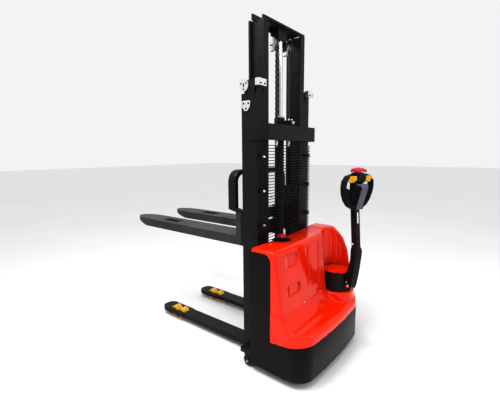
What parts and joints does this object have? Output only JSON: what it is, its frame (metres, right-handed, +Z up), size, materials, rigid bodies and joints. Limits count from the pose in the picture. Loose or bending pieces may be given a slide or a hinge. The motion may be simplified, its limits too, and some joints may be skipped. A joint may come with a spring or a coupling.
{
  "type": "walkie stacker",
  "caption": "Pedestrian stacker with a two-stage mast and chain-hung forks over roller-tipped legs, a moulded rear body and a side-mounted tiller.",
  "frame": {"origin": "middle of the whole truck's footprint, on the floor, in the stored pose", "axes": "+X forward to the fork tips, +Y to the truck's left, +Z up"},
  "size_m": [1.811, 0.8, 2.11],
  "materials": {
    "black_steel": "black powder coat, satin",
    "fork_steel": "dark grey powder coat, satin",
    "zinc": "bright zinc plate",
    "rod_chrome": "ground and chromed",
    "machined_steel": "machined",
    "chain_steel": "oiled dark steel",
    "guard_wire": "black coated wire",
    "cover_red": "glossy orange-red",
    "skirt_black": "black, satin",
    "roller_yellow": "yellow polyurethane",
    "paddle_yellow": "yellow moulded plastic",
    "crimson": "crimson moulded plastic",
    "head_black": "black moulded plastic",
    "slate": "slate grey moulded plastic",
    "tyre_rubber": "dark rubber",
    "battery_case": "battery case",
    "motor_housing": "cast housing"
  },
  "bodies": {
    "root": {"outer_mast_rails": "black_steel", "mast_cross_plate": "black_steel", "mast_foot_beam": "black_steel", "mast_adjusters": "zinc", "cylinder_tube": "black_steel", "cylinder_gland": "black_steel", "rear_chains": "chain_steel", "chain_anchor_bracket": "black_steel", "chain_anchor_bolts": "zinc", "guard_mesh": "guard_wire", "guard_brackets": "black_steel", "support_legs": "black_steel", "load_roller_axles": "machined_steel", "chassis_base": "black_steel", "lower_skirt": "skirt_black", "side_panels": "skirt_black", "top_cover": "cover_red", "batteries": "battery_case", "pump_motor": "motor_housing", "hydraulic_tank": "battery_case", "hydraulic_hose": "tyre_rubber", "motor_controller": "motor_housing", "emergency_stop_base": "head_black", "steering_bearing": "machined_steel"},
    "inner_mast": {"inner_mast_rails": "black_steel", "inner_mast_plates": "black_steel", "piston_rod": "rod_chrome", "rod_head": "black_steel", "front_chains": "chain_steel"},
    "carriage": {"carriage_frame": "black_steel", "fork_left": "fork_steel", "fork_right": "fork_steel", "backrest": "black_steel"},
    "mast_rollers_upper": {"mast_rollers_upper": "machined_steel"},
    "mast_rollers_lower": {"mast_rollers_lower": "machined_steel"},
    "carriage_rollers_upper": {"carriage_rollers_upper": "machined_steel"},
    "carriage_rollers_lower": {"carriage_rollers_lower": "machined_steel"},
    "chain_sheaves": {"chain_sheaves": "zinc"},
    "steering": {"steering_drum": "black_steel", "drive_gearbox": "motor_housing", "drive_motor": "motor_housing"},
    "drive_wheel": {"drive_wheel": "tyre_rubber"},
    "tiller": {"tiller_boot": "black_steel", "tiller_tube": "black_steel", "tiller_pivot_pin": "zinc", "tiller_head": "head_black", "head_wedge": "slate"},
    "throttle": {"throttle_paddles": "paddle_yellow"},
    "reverse_button": {"reverse_button": "crimson"},
    "lift_rocker": {"lift_rocker": "slate"},
    "horn_button": {"horn_button": "paddle_yellow"},
    "emergency_stop_head": {"emergency_stop_head": "crimson"},
    "caster_fork_left": {"caster_fork_left": "black_steel"},
    "caster_wheel_left": {"caster_wheel_left": "tyre_rubber"},
    "load_roller_left_front": {"load_roller_left_front": "roller_yellow"},
    "load_roller_left_rear": {"load_roller_left_rear": "roller_yellow"},
    "caster_fork_right": {"caster_fork_right": "black_steel"},
    "caster_wheel_right": {"caster_wheel_right": "tyre_rubber"},
    "load_roller_right_front": {"load_roller_right_front": "roller_yellow"},
    "load_roller_right_rear": {"load_roller_right_rear": "roller_yellow"}
  },
  "joints": [
    {"name": "mast_lift", "type": "slide", "parent": "root", "child": "inner_mast", "axis": [0, 0, 1], "range_m": [-0.35, 0.865], "deforming": ["rear_chains"]},
    {"name": "carriage_lift", "type": "slide", "parent": "inner_mast", "child": "carriage", "axis": [0, 0, 1], "range_m": [-0.35, 0.865], "deforming": ["front_chains"]},
    {"name": "mast_rollers_upper_spin", "type": "hinge", "parent": "root", "child": "mast_rollers_upper", "pos_m": [-0.37152, 0, 1.6], "axis": [0, 1, 0], "continuous": true},
    {"name": "mast_rollers_lower_spin", "type": "hinge", "parent": "inner_mast", "child": "mast_rollers_lower", "pos_m": [-0.37152, 0, 0.49], "axis": [0, 1, 0], "continuous": true},
    {"name": "carriage_rollers_upper_spin", "type": "hinge", "parent": "carriage", "child": "carriage_rollers_upper", "pos_m": [-0.37152, 0, 1.0345], "axis": [0, 1, 0], "continuous": true},
    {"name": "carriage_rollers_lower_spin", "type": "hinge", "parent": "carriage", "child": "carriage_rollers_lower", "pos_m": [-0.37152, 0, 0.8175], "axis": [0, 1, 0], "continuous": true},
    {"name": "chain_sheaves_spin", "type": "hinge", "parent": "inner_mast", "child": "chain_sheaves", "pos_m": [-0.37052, 0, 1.971], "axis": [0, 1, 0], "continuous": true},
    {"name": "steering_turn", "type": "hinge", "parent": "root", "child": "steering", "pos_m": [-0.68952, -0.265, 0.3], "axis": [0, 0, 1], "range_deg": [-55, 65]},
    {"name": "drive_wheel_spin", "type": "hinge", "parent": "steering", "child": "drive_wheel", "pos_m": [-0.68952, -0.265, 0.105], "axis": [0.342, 0.9397, 0], "continuous": true},
    {"name": "tiller_tilt", "type": "hinge", "parent": "steering", "child": "tiller", "pos_m": [-0.8098, -0.22122, 0.43], "axis": [-0.342, -0.9397, 0], "range_deg": [0, 75], "stiffness_Nm_per_rad": 30, "springref_deg": -17.19},
    {"name": "throttle_turn", "type": "hinge", "parent": "tiller", "child": "throttle", "pos_m": [-0.8549, -0.2048, 1.142], "axis": [-0.342, -0.9397, 0], "range_deg": [-25, 25], "stiffness_Nm_per_rad": 0.5},
    {"name": "reverse_button_press", "type": "slide", "parent": "tiller", "child": "reverse_button", "axis": [0, 0, -1], "range_m": [0, 0.006], "stiffness_N_per_m": 1500, "springref_m": -0.003},
    {"name": "lift_rocker_rock", "type": "hinge", "parent": "tiller", "child": "lift_rocker", "pos_m": [-0.81783, -0.23745, 1.088], "axis": [-0.342, -0.9397, 0], "range_deg": [-6, 6], "stiffness_Nm_per_rad": 0.3},
    {"name": "horn_button_press", "type": "slide", "parent": "tiller", "child": "horn_button", "axis": [-0.9397, 0.342, 0], "range_m": [0, 0.003], "stiffness_N_per_m": 400},
    {"name": "emergency_stop_press", "type": "slide", "parent": "root", "child": "emergency_stop_head", "axis": [0, 0, -1], "range_m": [0, 0.006], "stiffness_N_per_m": 800, "springref_m": -0.003},
    {"name": "caster_swivel_left", "type": "hinge", "parent": "root", "child": "caster_fork_left", "pos_m": [-0.39352, 0.364, 0.09], "axis": [0, 0, 1], "continuous": true},
    {"name": "caster_spin_left", "type": "hinge", "parent": "caster_fork_left", "child": "caster_wheel_left", "pos_m": [-0.41152, 0.364, 0.037], "axis": [0, 1, 0], "continuous": true},
    {"name": "load_roller_left_front_spin", "type": "hinge", "parent": "root", "child": "load_roller_left_front", "pos_m": [0.47748, 0.207, 0.04], "axis": [0, 1, 0], "continuous": true},
    {"name": "load_roller_left_rear_spin", "type": "hinge", "parent": "root", "child": "load_roller_left_rear", "pos_m": [0.39348, 0.207, 0.04], "axis": [0, 1, 0], "continuous": true},
    {"name": "caster_swivel_right", "type": "hinge", "parent": "root", "child": "caster_fork_right", "pos_m": [-0.39352, -0.364, 0.09], "axis": [0, 0, 1], "continuous": true},
    {"name": "caster_spin_right", "type": "hinge", "parent": "caster_fork_right", "child": "caster_wheel_right", "pos_m": [-0.41152, -0.364, 0.037], "axis": [0, 1, 0], "continuous": true},
    {"name": "load_roller_right_front_spin", "type": "hinge", "parent": "root", "child": "load_roller_right_front", "pos_m": [0.47748, -0.207, 0.04], "axis": [0, 1, 0], "continuous": true},
    {"name": "load_roller_right_rear_spin", "type": "hinge", "parent": "root", "child": "load_roller_right_rear", "pos_m": [0.39348, -0.207, 0.04], "axis": [0, 1, 0], "continuous": true}
  ],
  "couplings": [
    {"joint": "carriage_lift", "follows": "mast_lift", "ratio": 1},
    {"joint": "mast_rollers_upper_spin", "follows": "mast_lift", "rad_per_m": -24.096},
    {"joint": "mast_rollers_lower_spin", "follows": "mast_lift", "rad_per_m": 24.096},
    {"joint": "carriage_rollers_upper_spin", "follows": "mast_lift", "rad_per_m": 24.096},
    {"joint": "carriage_rollers_lower_spin", "follows": "mast_lift", "rad_per_m": 24.096},
    {"joint": "chain_sheaves_spin", "follows": "mast_lift", "rad_per_m": -26.316}
  ]
}
